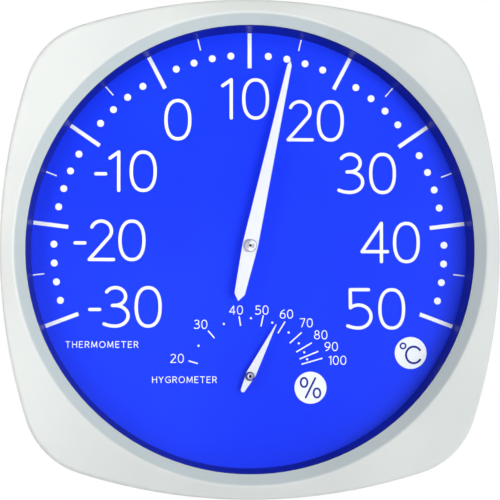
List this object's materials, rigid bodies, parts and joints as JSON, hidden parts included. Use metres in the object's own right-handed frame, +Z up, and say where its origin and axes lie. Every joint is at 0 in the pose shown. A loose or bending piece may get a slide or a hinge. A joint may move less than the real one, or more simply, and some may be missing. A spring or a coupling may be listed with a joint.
{
  "type": "dial thermo-hygrometer",
  "caption": "Wall-hung round-dial instrument in a rounded-square case, with a long temperature pointer and a small humidity pointer on one blue dial.",
  "frame": {"origin": "on the wall plane, behind the centre of the case", "axes": "+X right as the viewer sees the dial, +Z up, +Y into the wall; the dial faces -Y"},
  "size_m": [0.25, 0.0334, 0.25],
  "materials": {
    "case_plastic": "fine satin, pale silver grey",
    "window_clear": "clear and glossy",
    "ring_blue": "dark blue, glossy",
    "dial_blue": "vivid blue print, satin",
    "print_white": "white print",
    "pointer_white": "white enamel, satin",
    "hub_metal": "turned",
    "carrier_plastic": "moulded, dark grey",
    "cover_plastic": "fine satin, pale grey",
    "screw_steel": "zinc plated",
    "foot_rubber": "matt black",
    "coil_steel": "rolled strip",
    "humidity_strip": "laminated strip",
    "brass": "turned",
    "bridge_steel": "pressed strip",
    "arbor_steel": "ground"
  },
  "bodies": {
    "case": {"front_frame": "case_plastic", "window_pane": "window_clear", "spacer_ring": "ring_blue", "dial_plate": "dial_blue", "thermometer_scale": "print_white", "hygrometer_scale": "print_white", "carrier_plate": "carrier_plastic", "carrier_screws": "screw_steel", "back_cover": "cover_plastic", "cover_screws": "screw_steel", "wall_feet": "foot_rubber", "thermometer_bridge": "bridge_steel", "thermometer_bridge_screws": "screw_steel", "thermometer_rear_bush": "brass", "thermometer_front_bush": "brass", "hygrometer_bridge": "bridge_steel", "hygrometer_bridge_screws": "screw_steel", "hygrometer_rear_bush": "brass", "hygrometer_front_bush": "brass"},
    "thermometer_setting": {"thermometer_regulator": "brass", "thermometer_stud": "brass", "thermometer_coil": "coil_steel"},
    "thermometer_hand": {"thermometer_pointer": "pointer_white", "thermometer_pointer_hub": "hub_metal", "thermometer_arbor": "arbor_steel", "thermometer_collet": "brass"},
    "hygrometer_setting": {"hygrometer_regulator": "brass", "hygrometer_stud": "brass", "hygrometer_coil": "humidity_strip"},
    "hygrometer_hand": {"hygrometer_pointer": "pointer_white", "hygrometer_pointer_hub": "hub_metal", "hygrometer_arbor": "arbor_steel", "hygrometer_collet": "brass"}
  },
  "joints": [
    {"name": "thermometer_regulator_turn", "type": "hinge", "parent": "case", "child": "thermometer_setting", "pos_m": [0, -0.0051, 0.0019], "axis": [0, 1, 0], "range_deg": [-12, 12]},
    {"name": "thermometer_pointer_turn", "type": "hinge", "parent": "thermometer_setting", "child": "thermometer_hand", "pos_m": [0, -0.017, 0.0019], "axis": [0, 1, 0], "range_deg": [-122.9, 98.3], "stiffness_Nm_per_rad": 0.015, "deforming": ["thermometer_coil"]},
    {"name": "hygrometer_regulator_turn", "type": "hinge", "parent": "case", "child": "hygrometer_setting", "pos_m": [0, -0.0051, -0.0636], "axis": [0, 1, 0], "range_deg": [-12, 12]},
    {"name": "hygrometer_pointer_turn", "type": "hinge", "parent": "hygrometer_setting", "child": "hygrometer_hand", "pos_m": [0, -0.017, -0.0636], "axis": [0, 1, 0], "range_deg": [-99.95, 46.95], "stiffness_Nm_per_rad": 0.003, "deforming": ["hygrometer_coil"]}
  ]
}
